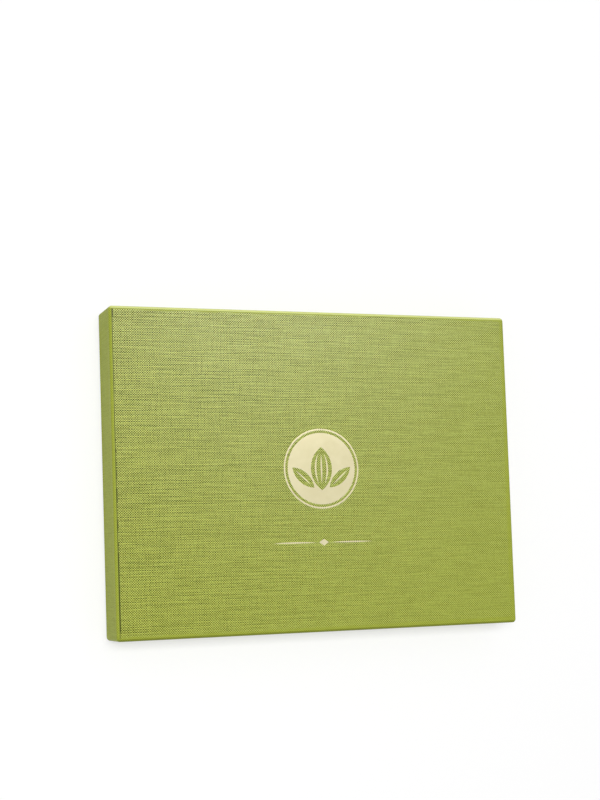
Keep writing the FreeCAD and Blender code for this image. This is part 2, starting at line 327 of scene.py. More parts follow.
proud_weft = calculate(linen_weave, "MULTIPLY_ADD", warp, warp_share, proud_rows(weft_rows, weft_proud))
proud_warp = calculate(linen_weave, "ADD", weft, proud_rows(warp_rows, warp_proud))
both_sets = calculate(linen_weave, "MULTIPLY", proud_weft, proud_warp)
crossing = calculate(linen_weave, "MULTIPLY_ADD", both_sets, 0.5, 0.5)
knot = add_node(linen_weave, "VectorMath", {0: shifted}, operation="FLOOR").outputs[0]
knots = add_node(linen_weave, "TexWhiteNoise", {"Vector": knot}).outputs["Value"]


def slub_noise(along, across_threads, stretch):
    """Thick and thin lengths of thread: a noise that runs along each thread and starts anew on the next."""
    drawn_out = calculate(linen_weave, "MULTIPLY", along, stretch)
    thread = calculate(linen_weave, "MULTIPLY", calculate(linen_weave, "FLOOR", across_threads), slub_apart)
    place = add_node(linen_weave, "CombineXYZ", {0: drawn_out, 1: thread}).outputs[0]
    return ramp(linen_weave, noise(linen_weave, place, 1.0, 1.0), 0.28, 0.72)


weft_slubs = slub_noise(across["X"], across["Y"], weft_slub)
warp_slubs = slub_noise(across["Y"], across["X"], warp_slub)
level = 0.0
for share, part in ((0.87, crossing), (0.06, knots), (0.05, weft_slubs), (0.02, warp_slubs)):
    level = calculate(linen_weave, "MULTIPLY_ADD", part, share, level)
crests = ramp(linen_weave, level, 0.36, 0.62)
# Crests are pressed about a pivot above their mean, so a deeper press gives darker paper: painted shade in
# the pits.
mean_level, crests_shade_pivot = 0.5, 0.64
for output, raised, flat in (("Height", level, mean_level), ("Crests", crests, crests_shade_pivot)):
    relief = calculate(linen_weave, "SUBTRACT", raised, flat)
    pressed = calculate(linen_weave, "MULTIPLY_ADD", relief, linen_in["Depth"], flat)
    linen_weave.links.new(pressed, linen_out[output])


def linen_paper_material():
    """Lime paper, painted dark in the weave's pits as shade and pale on its crests as highlight, with a soft
    pearl coat on its crests that folds rub off. Its fold attribute paints a highlight along the upper folds
    and shade along the lower and left ones.
    """
    material, tree, shader = new_material("linen_paper", 0.6)
    sheet = add_node(tree, "UVMap", uv_map="sheet").outputs[0]
    depth = add_node(tree, "Attribute", attribute_name="emboss").outputs["Fac"]
    weave = use_group(tree, linen_weave, {"Sheet": sheet, "Depth": depth})
    pulp = use_group(tree, paper_pulp, {"Place": object_place(tree), "Size": 0.03})
    # Pits painted dark as shade and crests pale as highlight; the paper's own lime is their mix.
    lime = mixed(tree, weave["Crests"], srgb(*pit_shade_lime), srgb(*crest_lit_lime))
    clouded = mixed(tree, calculate(tree, "MULTIPLY", pulp["Clouds"], 0.04), lime, srgb(*crest_lit_lime))
    # The fold attribute paints a highlight along the folds where it is above 0 and shade where it is below
    # 0.
    fold_light_shade = add_node(tree, "Attribute", attribute_name="fold").outputs["Fac"]
    folded = mixed(tree, ramp(tree, fold_light_shade, 0.0, 1.0), clouded, srgb(*fold_highlight_lime))
    fold_shaded = mixed(tree, ramp(tree, fold_light_shade, 0.0, -1.0), folded, srgb(*pit_shade_lime))
    tree.links.new(fold_shaded, shader["Base Color"])
    pearl = ramp(tree, weave["Crests"], 0.25, 0.95, 0.0, 1.0)
    rubbed = ramp(tree, depth, 0.45, 0.60, 0.35, 1.0)
    tree.links.new(calculate(tree, "MULTIPLY", pearl, rubbed), shader["Coat Weight"])
    shader["Coat Roughness"].default_value = 0.42
    shader["Specular IOR Level"].default_value = 0.06
    raise_surface(tree, shader, weave["Height"], weave_relief)
    return material


linen_paper = linen_paper_material()


def grid_lines(half, coarse, *fine):
    """Grid lines from -half to half, coarse apart and closer near both ends.

    A span of (low, high, step) has lines of its own that lie step apart.
    """
    near_fold = half - np.array([0.0, 0.0008, 0.0016, 0.0026, 0.004])
    lines = np.concatenate([np.linspace(-half, half, int(2 * half / coarse) + 1), near_fold, -near_fold])
    for low, high, step in fine:
        lines = lines[(lines < low - 0.2 * coarse) | (lines > high + 0.2 * coarse)]
        lines = np.concatenate([lines, np.linspace(low, high, int((high - low) / step) + 1)])
    return np.unique(np.round(lines, 7))


def folded_sheet(start, lead, height):
    """Profile of a cover, as stretches of (outward, rise) points, with rise counted from its folded face.

    It runs along the face from start, round the fold, along the wall, over the rim and back inside, and
    then returns along the inner side of the sheet.
    """
    outer, inner = cover_corner_round, cover_corner_round - sheet_paper
    hem = inner - sheet_paper - glue_film - board_thickness
    fold, turn = outer - cover_edge_round, cover_edge_round
    rim, end = height - rim_round, height - sheet_paper - cover_turn_in
    return [run((start, 0), (fold - lead, 0), flat_rows),
            arc(fold, turn, turn, -90, 0, 9),
            run((outer, turn + wall_lead), (outer, rim - rim_round), 6),
            arc(outer - rim_round, rim, rim_round, 0, 90, 4),
            arc(hem + rim_round, rim, rim_round, 90, 180, 4),
            run((hem, rim - rim_round), (hem, end), 4),
            run((hem + sheet_paper, end), (hem + sheet_paper, height - sheet_paper)),
            run((inner, height - sheet_paper), (inner, turn)),
            arc(fold, turn, turn - sheet_paper, 0, -90, 6),
            run((fold - lead, sheet_paper), (start, sheet_paper))]


base_low, base_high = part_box("base_wrap")
base_flat = np.array([base_high.x, base_high.y]) - cover_corner_round
base_path, base_directions, base_flaps, base_turns = rounded_path(
    grid_lines(base_flat[0], base_grid), grid_lines(base_flat[1], base_grid))
base_stretches = folded_sheet(cover_corner_round - base_turn_under, fold_lead, base_high.z - base_low.z)
base_profile = np.concatenate(base_stretches) + (0, base_low.z)
base_points = carried(base_path, base_directions, base_flat, base_profile)
base_sheet = laid_flat(base_path, base_flaps, base_turns, base_profile)
base_rise = base_points[..., 2] - base_low.z
on_base_fold = (np.abs(base_rise - cover_edge_round) < fold_reach) & (base_rise > sheet_paper / 2)
base_faces = grid_faces(*base_points.shape[:2], 0, True, True)
base_cover = new_piece("base_cover", base_points, base_faces, [linen_paper], uv=base_sheet,
                       emboss=np.where(on_base_fold, fold_press, wall_press),
                       fold=base_fold_highlight * on_base_fold)
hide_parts("base_wrap")
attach(base_cover, "base")

# Base lining: a smooth ivory paper glued on the tray's floor.
# Bottom paper: a smooth sheet in the cover's lime, pasted over the cover's turned-under edges.

ivory_paper = paper_material("ivory_lining", (232, 222, 198), (240, 231, 210), (214, 200, 170),
                             fibre_share=0.5, size=0.012, roughness=0.6, relief=0.00002)
lime_paper = paper_material("bottom_paper", (146, 156, 78), (154, 164, 86), (132, 141, 66),
                            fibre_share=0.5, size=0.014, roughness=0.45, relief=0.00002)
dress(ivory_paper, "base_lining")
dress(lime_paper, "base_bottom_paper")

# Dome pralines: shells of dark chocolate cast in a mould, filled and capped, so they stand on a straight
# lip. A thin stream of milk chocolate is drizzled to and fro over each one.

dome_radius, dome_height, dome_lip, dome_foot = 0.015, 0.015, 0.003, 0.0006
drizzle_pitch, drizzle_width, drizzle_rise, drizzle_fade = 0.0056, 0.0011, 0.0007, 0.002
drizzle_sway, drizzle_wave, drizzle_angle = 0.0010, 0.014, 28
skin_cloud, skin_relief, ripples_per_cloud, pores_per_metre = 0.008, 0.00006, 6.0, 420.0
bloom_tone = (206, 182, 158)
per_kind, hand_turn = 5, 3
handwork = np.random.default_rng(35)

# Chocolate skin: Clouds are the uneven set of the chocolate, Bloom the pale dust of fat that comes out on
# it, and Height its pores and faint ripples. Size is the length of a cloud in metres.
chocolate_skin, skin_in, skin_out = new_group("chocolate_skin", "Place", "Size", "Clouds", "Bloom", "Height")
set_scale = calculate(chocolate_skin, "DIVIDE", 1.0, skin_in["Size"])
ripple_scale = calculate(chocolate_skin, "MULTIPLY", set_scale, ripples_per_cloud)
unevenness = noise(chocolate_skin, skin_in["Place"], set_scale, 3.0, 0.55)
ripples = noise(chocolate_skin, skin_in["Place"], ripple_scale)
foam = {"Vector": skin_in["Place"], "Scale": pores_per_metre}
pore_cells = add_node(chocolate_skin, "TexVoronoi", foam).outputs
pores = calculate(chocolate_skin, "MULTIPLY", ramp(chocolate_skin, pore_cells["Distance"], 0.22, 0.10),
                  ramp(chocolate_skin, pore_cells["Color"], 0.66, 0.72))
chocolate_skin.links.new(ramp(chocolate_skin, unevenness, 0.3, 0.7), skin_out["Clouds"])
chocolate_skin.links.new(ramp(chocolate_skin, ripples, 0.56, 0.80), skin_out["Bloom"])
rippled = calculate(chocolate_skin, "MULTIPLY", ripples, 0.5)
chocolate_skin.links.new(calculate(chocolate_skin, "SUBTRACT", rippled, pores), skin_out["Height"])


def chocolate_material(name, colour, cloud_colour, bloom_share, roughness, stripe_colour=None):
    """Set chocolate of two near tones under a trace of bloom; stripe lays a second chocolate on it."""
    material, tree, shader = new_material(name, roughness)
    skin = use_group(tree, chocolate_skin, {"Place": object_place(tree), "Size": skin_cloud})
    tone = mixed(tree, skin["Clouds"], srgb(*colour), srgb(*cloud_colour))
    if stripe_colour:
        stripe = add_node(tree, "Attribute", attribute_name="stripe").outputs["Fac"]
        tone = mixed(tree, ramp(tree, stripe, 0.25, 0.55), tone, srgb(*stripe_colour))
    bloom = calculate(tree, "MULTIPLY", skin["Bloom"], bloom_share)
    tree.links.new(mixed(tree, bloom, tone, srgb(*bloom_tone)), shader["Base Color"])
    tree.links.new(ramp(tree, skin["Bloom"], 0.0, 1.0, roughness, roughness + 0.2), shader["Roughness"])
    raise_surface(tree, shader, skin["Height"], skin_relief)
    return material


def turned(x, y, angle):
    """The place seen from axes that are turned by an angle in degrees."""
    cosine, sine = math.cos(math.radians(angle)), math.sin(math.radians(angle))
    return x * cosine + y * sine, y * cosine - x * sine


def ringed(share, inset, up, length, width, squareness, columns=144):
    """Rings about Z, one for each row, along the outline |x / a|^n + |y / b|^n = 1, with n the squareness.

    Half axes a and b are a share of half the length and half the width less an inset. On a square outline
    the columns crowd towards its corners.
    """
    turn = np.linspace(0, 2 * math.pi, columns, endpoint=False)
    turn = turn + 0.15 * (1 - 2 / squareness) * np.sin(4 * turn)
    reach = (np.abs(np.cos(turn)) ** squareness + np.abs(np.sin(turn)) ** squareness) ** (-1 / squareness)
    half = share[:, None] * (np.array([length, width]) / 2 - inset)
    x = half[:, :1] * (reach * np.cos(turn))
    y = half[:, 1:] * (reach * np.sin(turn))
    return np.stack([x, y, np.broadcast_to(up[:, None], x.shape)], axis=2)


def revolved(profile, columns=144):
    """A profile of (radius, up) points turned about Z."""
    widest = profile[:, 0].max()
    return ringed(profile[:, 0] / widest, 0.0, profile[:, 1], 2 * widest, 2 * widest, 2.0, columns)


def set_in_cell(form, kind, number, points, materials, slot, face_material=None, **values):
    """Sets a praline, made at the origin, in its cell in place of its solid, turned a little by hand."""
    node = f"{kind}_{number}"
    low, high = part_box(node)
    x, y = turned(points[..., 0], points[..., 1], handwork.uniform(-hand_turn, hand_turn))
    middle = (low + high) / 2
    points = np.stack([x + middle.x, y + middle.y, points[..., 2] + low.z], axis=2)
    faces = grid_faces(*points.shape[:2], close_columns=True)
    piece = new_piece(f"{form}_{number}", points, faces, materials, face_material, **values)
    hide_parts(node)
    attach(piece, "base")


def drizzled_dome(phase):
    """Spherical cap over a lip, raised where a swaying line of the drizzle passes.

    Gives its points and the stripe of drizzle, from 0 beside it to 1 on it.
    """
    rise = dome_height - dome_lip - drizzle_rise
    ball = (dome_radius ** 2 + rise ** 2) / (2 * rise)
    points = revolved(np.concatenate([
        run((0, 0), (dome_radius - 2 * dome_foot, 0), 5),
        arc(dome_radius - dome_foot, dome_foot, dome_foot, -90, 0, 5),
        run((dome_radius, 2 * dome_foot), (dome_radius, dome_lip - dome_foot / 2), 3),
        arc(0, dome_lip + rise - ball, ball, math.degrees(math.acos(dome_radius / ball)), 90, 46)]))
    along, across = turned(points[..., 0], points[..., 1], drizzle_angle)
    sway = drizzle_sway * np.sin(2 * math.pi * along / drizzle_wave + phase)
    swayed = across + sway + phase * drizzle_pitch
    from_line = np.abs(np.mod(swayed, drizzle_pitch) - drizzle_pitch / 2)
    stripe = 1 - smooth_step(from_line, 0.2 * drizzle_width, drizzle_width)
    stripe = stripe * smooth_step(points[..., 2], dome_lip, dome_lip + drizzle_fade)
    points[..., 2] += drizzle_rise * stripe
    return points, stripe


dark_drizzled = chocolate_material("dark_drizzled", (64, 36, 24), (74, 42, 28),
                                   bloom_share=0.10, roughness=0.27, stripe_colour=(138, 84, 50))
for number in range(1, per_kind + 1):
    points, stripe = drizzled_dome(handwork.uniform(0, 2 * math.pi))
    set_in_cell("drizzled_dome", "dome_praline", number, points, [dark_drizzled], "dark_chocolate",
                stripe=stripe)

# Layered blocks: a pale hazelnut layer between two of gianduja, poured in a slab and cut into squares.
# The slab's top is combed before it sets.

block_side, block_height = 0.0268, 0.0155
block_foot, block_round, block_squareness = 0.0003, 0.0016, 14.0
comb_pitch, comb_depth = 0.0021, 0.0004
pale_layer, layer_wave, waves_per_metre, layer_blur = (0.0054, 0.0102), 0.0006, 240.0, (0.0004, 0.0002)
crumb_cloud, crumb_share, crumb_relief = 0.006, 0.35, 0.0001


def moulded(length, width, height, slope, foot_round, top_round, squareness):
    """Closed body of rings: out over its foot, up a wall drawn in by slope (x, y), in over its round top."""
    quarter = np.radians(np.linspace(0, 90, 7))
    wall = np.linspace(foot_round, height - top_round, 14)[1:-1]
    out, over = np.linspace(0, 1, 6)[:-1], np.linspace(1, 0, 28)[1:]
    share = np.concatenate([out, np.ones(2 * len(quarter) + len(wall)), over])
    drawn_in = np.concatenate([
        np.full(len(out), foot_round), foot_round * (1 - np.sin(quarter)), np.zeros(len(wall)),
        top_round * (1 - np.cos(quarter)), np.full(len(over), top_round)])
    up = np.concatenate([
        np.zeros(len(out)), foot_round * (1 - np.cos(quarter)), wall,
        height - top_round * (1 - np.sin(quarter)), np.full(len(over), height)])
    inset = drawn_in[:, None] + (up / height)[:, None] * np.array(slope)
    return ringed(share, inset, up, length, width, squareness)


def layered_material():
    """Gianduja with a paler layer between two heights above its foot, both with crumbs of ground nut."""
    material, tree, shader = new_material("layered_gianduja", 0.45)
    place = object_place(tree)
    skin = use_group(tree, chocolate_skin, {"Place": place, "Size": crumb_cloud})
    gianduja_tone = mixed(tree, skin["Clouds"], srgb(128, 82, 52), srgb(140, 92, 60))
    hazelnut_tone = mixed(tree, skin["Clouds"], srgb(206, 170, 122), srgb(216, 182, 136))
    height = add_node(tree, "SeparateXYZ", {0: place}).outputs["Z"]
    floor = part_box("layered_block_1")[0].z
    middle = floor + sum(pale_layer) / 2
    from_middle = calculate(tree, "ABSOLUTE", calculate(tree, "SUBTRACT", height, middle))
    wavy = calculate(tree, "MULTIPLY_ADD", noise(tree, place, waves_per_metre), layer_wave, from_middle)
    half_layer = (pale_layer[1] - pale_layer[0]) / 2
    in_layer = ramp(tree, wavy, half_layer + layer_blur[0], half_layer + layer_blur[1])
    tone = mixed(tree, in_layer, gianduja_tone, hazelnut_tone)
    crumbs = mixed(tree, calculate(tree, "MULTIPLY", skin["Bloom"], crumb_share), tone, srgb(172, 122, 78))
    tree.links.new(crumbs, shader["Base Color"])
    tree.links.new(ramp(tree, skin["Bloom"], 0.0, 1.0, 0.42, 0.62), shader["Roughness"])
    raise_surface(tree, shader, skin["Height"], crumb_relief)
    return material


layered_gianduja = layered_material()
for number in range(1, per_kind + 1):
    points = moulded(block_side, block_side, block_height, (0, 0), block_foot, block_round, block_squareness)
    combing = math.pi * points[..., 1] / comb_pitch + handwork.uniform(0, math.pi)
    combed = comb_depth * np.abs(np.sin(combing))
    points[..., 2] -= combed * smooth_step(points[..., 2], block_height - 0.3 * block_round, block_height)
    set_in_cell("combed_block", "layered_block", number, points, [layered_gianduja], "gianduja")

# Truffles: balls of soft ganache rolled by hand, so lumpy and never quite round.
# They are tossed in cocoa powder, which lies on them dry and uneven.

truffle_radius, truffle_flat, truffle_lump, lump_waves = 0.0115, 0.003, 0.0013, 48
clumps_per_metre, grains_per_metre, clump_relief = 700.0, 2600.0, 0.0006


def rolled_truffle():
    """Ball whose radius dips by a sum of sine waves over its directions, cut flat at its foot.

    The longer a wave is, the stronger it is.
    """
    polar = np.linspace(0, math.pi, 72)[:, None]
    turn = np.linspace(0, 2 * math.pi, 132, endpoint=False)
    directions = np.stack([np.sin(polar) * np.cos(turn), np.sin(polar) * np.sin(turn),
                           -np.cos(polar) * np.ones_like(turn)], axis=2)
    waves = handwork.normal(size=(lump_waves, 3)) * np.geomspace(1.6, 14, lump_waves)[:, None]
    strength = 1 / np.linalg.norm(waves, axis=1)
    lumps = np.sin(directions @ waves.T + handwork.uniform(0, 2 * math.pi, lump_waves)) @ strength
    lumps = (lumps - lumps.min()) / (lumps.max() - lumps.min())
    points = directions * (truffle_radius - truffle_lump * (1 - lumps))[..., None]
    points[..., 2] = np.maximum(points[..., 2] + truffle_radius - truffle_flat, 0)
    return points


def cocoa_material():
    """Dry cocoa powder: warm brown, darker where the ganache shows through between its clumps."""
    material, tree, shader = new_material("cocoa_dust", 0.95)
    place = object_place(tree)
    clumps = noise(tree, place, clumps_per_metre, 5.0, 0.7)
    grains = ramp(tree, noise(tree, place, grains_per_metre), 0.55, 0.75)
    tone = mixed(tree, ramp(tree, clumps, 0.38, 0.60), srgb(62, 34, 22), srgb(122, 76, 48))
    tree.links.new(mixed(tree, grains, tone, srgb(142, 94, 62)), shader["Base Color"])
    tree.links.new(ramp(tree, clumps, 0.35, 0.60, 0.72, 0.97), shader["Roughness"])
    raise_surface(tree, shader, clumps, clump_relief)
    return material


cocoa_dust = cocoa_material()
for number in range(1, per_kind + 1):
    points = rolled_truffle()
    set_in_cell("rolled_truffle", "truffle", number, points, [cocoa_dust], "cocoa_dust", sharp=60.0)

# Gianduja ingots: soft gianduja drawn off in the shape of an upturned boat.
# The nozzle leaves faint ridges along them, and they set to a smooth, dull brown.

ingot_length, ingot_width, ingot_height = 0.030, 0.018, 0.017
ingot_slope, ingot_squareness = (0.0045, 0.0050), 5.0
ingot_foot, ingot_round, ridge_fade = 0.0006, 0.0024, 0.003
nozzle_ridges, ridge_depth = 9, 0.0002

gianduja = chocolate_material("gianduja", (120, 76, 48), (132, 86, 56), bloom_share=0.18, roughness=0.36)
for number in range(1, per_kind + 1):
    points = moulded(ingot_length, ingot_width, ingot_height, ingot_slope,
                     ingot_foot, ingot_round, ingot_squareness)
    up = points[..., 2]
    on_side = smooth_step(up, ingot_foot, ridge_fade) * smooth_step(ingot_height - up, 0.0, ridge_fade)
    ridges = np.cos(nozzle_ridges * 2 * math.pi * up / ingot_height) ** 2
    points[..., 1] *= 1 - 2 * ridge_depth / ingot_width * ridges * on_side
    set_in_cell("drawn_ingot", "gianduja_ingot", number, points, [gianduja], "gianduja")

# Hazelnut cups: pleated cups of milk chocolate, filled with hazelnut cream.
# One roasted nut is pressed into the cream of each while it is soft.

cup_foot, cup_rim, cup_height = 0.0124, 0.015, 0.0115
cup_flat, cup_foot_round, cup_lip, cup_fill = 0.0116, 0.0006, 0.0006, 0.0102
cream_climb, cream_wave, cream_steps = 0.0002, 0.0003, 14
nut_radius, nut_top, nut_streaks = 0.00675, 0.0195, 0.8
cup_pleats, pleat_depth, pleat_fade = 26, 0.0009, (0.0003, 0.003)


def pleated_cup():
    """Profile turned about Z: foot, wall, rim, cream and nut; the wall dips in by a sine wave round the cup.

    Gives points, the material of each face, and streaks that run over the nut from pole to pole.
    """
    nut_middle = nut_top - nut_radius
    nut_start = math.asin((cup_fill - nut_middle) / nut_radius)
    wall = run((cup_foot, 0.001), (cup_rim, cup_height - cup_lip), 16)
    cup = np.concatenate([
        run((0, 0), (cup_flat, 0), 5),
        arc(cup_foot - cup_foot_round, cup_foot_round, cup_foot_round, -90, -15, 4),
        wall,
        arc(cup_rim - cup_lip, cup_height - cup_lip, cup_lip, 15, 180, 7)])
    cream = run((cup_rim - 2.2 * cup_lip, cup_fill + cream_climb),
                (nut_radius * math.cos(nut_start), cup_fill), cream_steps)
    cream[:, 1] += cream_wave * np.sin(np.linspace(0, 5 * math.pi, cream_steps))
    nut = arc(0, nut_middle, nut_radius, math.degrees(nut_start), 90, 26)[1:]
    points = revolved(np.concatenate([cup, cream, nut]), 208)
    turn = np.arctan2(points[..., 1], points[..., 0])
    on_wall = smooth_step(points[..., 2], *pleat_fade) * (np.arange(len(points)) < len(cup))[:, None]
    points[..., :2] *= (1 - pleat_depth / cup_rim * on_wall * np.cos(cup_pleats / 2 * turn) ** 2)[..., None]
    face_rows = np.repeat([0, 1, 2], [len(cup), len(cream) - 1, len(nut)])
    streaks = 0.5 + 0.5 * np.sin(17 * turn + 3 * np.sin(5 * turn)) * np.sin(7 * turn + 1)
    return points, np.repeat(face_rows, points.shape[1]), streaks


milk_chocolate = chocolate_material("milk_chocolate", (116, 66, 38), (128, 74, 44),
                                    bloom_share=0.10, roughness=0.30)
hazelnut_cream = chocolate_material("hazelnut_cream", (176, 122, 74), (190, 136, 86),
                                    bloom_share=0.15, roughness=0.40)
roasted_nut = chocolate_material("roasted_nut", (158, 98, 50), (176, 114, 62),
                                 bloom_share=0.12, roughness=0.55, stripe_colour=(112, 62, 30))
cup_materials = [milk_chocolate, hazelnut_cream, roasted_nut]
for number in range(1, per_kind + 1):
    points, face_rows, streaks = pleated_cup()
    set_in_cell("pleated_cup", "hazelnut_cup", number, points, cup_materials, "milk_chocolate", face_rows,
                stripe=nut_streaks * streaks)

# Oval pralines: a firm centre dipped in white chocolate.
# The dipping fork, drawn off while the coat is soft, leaves three ridges across the top.

oval_length, oval_width, oval_height = 0.030, 0.023, 0.0135
oval_foot, oval_round, oval_squareness = 0.0008, 0.005, 2.0
fork_pitch, fork_rise, fork_angle, fork_swing = 0.0058, 0.0006, 38.0, 8
fork_line, fork_bend, fork_waves, fork_fade = (0.0003, 0.0015), 0.0006, 420, 0.002

white_chocolate = chocolate_material("white_chocolate", (240, 222, 178), (232, 210, 162),
                                     bloom_share=0.0, roughness=0.33)
for number in range(1, per_kind + 1):
    points = moulded(oval_length, oval_width, oval_height - fork_rise, (0, 0),
                     oval_foot, oval_round, oval_squareness)
    fork_turn = fork_angle + handwork.uniform(-fork_swing, fork_swing)
    along, across = turned(points[..., 0], points[..., 1], fork_turn)
    bent = along + fork_bend * np.sin(fork_waves * across)
    nearest_line = fork_pitch * np.clip(np.round(bent / fork_pitch), -1, 1)
    near_ridge = 1 - smooth_step(np.abs(bent - nearest_line), *fork_line)
    on_top = smooth_step(points[..., 2], oval_height - oval_round, oval_height - fork_fade)
    points[..., 2] += fork_rise * near_ridge * on_top
    set_in_cell("dipped_oval", "oval_praline", number, points, [white_chocolate], "white_chocolate")

# Pyramid pralines: dark chocolate cast in a mould with sloping sides.
# The mould presses a small four-pointed star into the flat top.

pyramid_side, pyramid_height, pyramid_slope = 0.0276, 0.015, 0.0048
pyramid_foot, pyramid_round, pyramid_squareness = 0.0005, 0.0012, 12.0
star_reach, star_depth, star_edge = 0.0075, 0.0006, (0.86, 1.0)

dark_chocolate = chocolate_material("dark_chocolate", (58, 33, 23), (68, 39, 27),
                                    bloom_share=0.12, roughness=0.25)
for number in range(1, per_kind + 1):
    points = moulded(pyramid_side, pyramid_side, pyramid_height, (pyramid_slope, pyramid_slope),
                     pyramid_foot, pyramid_round, pyramid_squareness)
    star = np.sqrt(np.abs(points[..., 0]) / star_reach) + np.sqrt(np.abs(points[..., 1]) / star_reach)
    pressed_star = (1 - smooth_step(star, *star_edge)) * (points[..., 2] > pyramid_height / 2)
    points[..., 2] -= star_depth * pressed_star
    set_in_cell("starred_pyramid", "pyramid_praline", number, points, [dark_chocolate], "dark_chocolate")

# Dividers: strips of coated ivory card, die-cut with half-depth slots and pushed into one another.
# Their upper and lower cut edges show the greyer middle of the card.


def divider_card_material():
    """Coated card, smooth on its faces, browner and rougher where an edge faces up or down."""
    material, tree, shader = new_material("divider_card", 0.45)
    pulp = use_group(tree, paper_pulp, {"Place": object_place(tree), "Size": 0.009})
    facing = add_node(tree, "SeparateXYZ", {0: add_node(tree, "TexCoord").outputs["Normal"]}).outputs["Z"]
    on_edge = ramp(tree, calculate(tree, "ABSOLUTE", facing), 0.6, 0.9)
    coated = mixed(tree, pulp["Clouds"], srgb(236, 226, 201), srgb(243, 235, 214))
    cut_edge = mixed(tree, pulp["Fibres"], srgb(208, 193, 162), srgb(182, 164, 132))
    tree.links.new(mixed(tree, on_edge, coated, cut_edge), shader["Base Color"])
    tree.links.new(ramp(tree, on_edge, 0.0, 1.0, 0.42, 0.85), shader["Roughness"])
    raise_surface(tree, shader, pulp["Height"], 0.00002)
    return material


divider_card = divider_card_material()
dress(divider_card, *(f"long_divider_{number}" for number in range(1, 5)),
      *(f"cross_divider_{number}" for number in range(1, 7)))

# Cushion pad: several sheets of soft white paper over the pralines, pressed together to 3 mm.
# Crossing crimps turn it into small diamond pillows, and a flat crimped band holds its edge.

pad_corner = 0.005
pad_edge, pad_margin, pad_spacing = (0.0, 0.00012, 0.0004, 0.0009), 0.0016, 0.0011
pillow_pitch, pillow_fullness = 0.0145, 0.55
crimp_half, pillow_half = 0.00035, 0.00142
pad_band, band_ripple, pad_close = (0.0045, 0.0075), 0.0026, (-0.0001, 0.0006)


def quilted_pad():
    """Grid drawn in to round corners: a square of side m at a corner goes to a quarter circle of radius m.

    Half thickness is a low crimp plus pillows, a power of |sin u sin v| along the two diagonals u and v,
    inside a band of fine ripples; it closes at the outline. Gives upper points, lower points and crimps.
    """
    low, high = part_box("cushion_pad")
    half = np.array([high.x, high.y])
    edge = np.array(pad_edge)
    lines = []
    for reach in half:
        even = np.linspace(reach - pad_margin, pad_margin - reach, int(2 * reach / pad_spacing))
        lines.append(np.concatenate([reach - edge, even, edge - reach])[::-1])
    flat = np.stack(np.meshgrid(*lines), axis=2)
    core = half - pad_corner
    beyond = np.maximum(np.abs(flat) - core, 0)
    square_radius = beyond.max(axis=2)
    in_corner = (beyond > 0).all(axis=2)
    true_radius = np.where(in_corner, np.linalg.norm(beyond, axis=2), 1.0)
    drawn = core + beyond * (square_radius / true_radius)[..., None]
    flat = np.where(in_corner[..., None], np.sign(flat) * drawn, flat)
    to_edge = np.where(square_radius > 0, pad_corner - square_radius, (half - np.abs(flat)).min(axis=2))
    x, y = flat[..., 0], flat[..., 1]
    crossed = np.sin(math.pi * (x + y) / pillow_pitch) * np.sin(math.pi * (x - y) / pillow_pitch)
    pillows = np.abs(crossed) ** pillow_fullness
    uneven = (0.92 + 0.05 * np.sin(210 * x + 3 * np.sin(90 * y))
              + 0.03 * np.sin(330 * y + 2 * np.sin(140 * x)))
    inside = smooth_step(to_edge, *pad_band)
    along_edge = np.where(half[0] - np.abs(x) < half[1] - np.abs(y), y, x)
    ripple = 0.5 + 0.5 * np.cos(2 * math.pi * along_edge / band_ripple)
    crimp = crimp_half * (1 + 0.5 * ripple * (1 - inside)) * smooth_step(to_edge, *pad_close)
    half_thickness = crimp + (pillow_half - 1.5 * crimp_half) * pillows * uneven * inside
    middle = (low.z + high.z) / 2
    upper = np.stack([x, y, middle + half_thickness], axis=2)
    lower = np.stack([x, y, middle - half_thickness], axis=2)
    return upper, lower, 1 - pillows * inside


def pad_material():
    """Soft creamy paper, a little greyer and glossier where the press has crimped it."""
    material, tree, shader = new_material("pad_paper", 0.6)
    pulp = use_group(tree, paper_pulp, {"Place": object_place(tree), "Size": 0.007})
    crimp = ramp(tree, add_node(tree, "Attribute", attribute_name="crimp").outputs["Fac"], 0.35, 0.95)
    paper = mixed(tree, pulp["Clouds"], srgb(240, 235, 222), srgb(246, 242, 232))
    crimped = mixed(tree, calculate(tree, "MULTIPLY", crimp, 0.5), paper, srgb(214, 205, 184))
    tree.links.new(crimped, shader["Base Color"])
    tree.links.new(ramp(tree, crimp, 0.0, 1.0, 0.68, 0.42), shader["Roughness"])
    raise_surface(tree, shader, pulp["Height"], 0.00005)
    return material


upper, lower, crimp = quilted_pad()
pad_faces = np.concatenate([grid_faces(*crimp.shape), grid_faces(*crimp.shape, crimp.size)[:, ::-1]])
cushion = new_piece("quilted_pad", np.stack([upper, lower]), pad_faces, [pad_material()], sharp=80.0,
                    crimp=np.stack([crimp, crimp]))
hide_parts("cushion_pad")
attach(cushion, "pad")

# Lid tray: the same grey board, folded down into walls as deep as the box.
# Its corners are held by the same kraft tapes, and its inside panel is lined in ivory.

dress(greyboard, "lid_board")
dress(kraft, "lid_corner_stays")
dress(ivory_paper, "lid_lining")

# Lid cover: one sheet of the linen-pressed lime paper, glued over the panel, the walls and the rim.
# Its flaps lap over short tabs at the corners of the end walls. The foil is stamped into it from above.

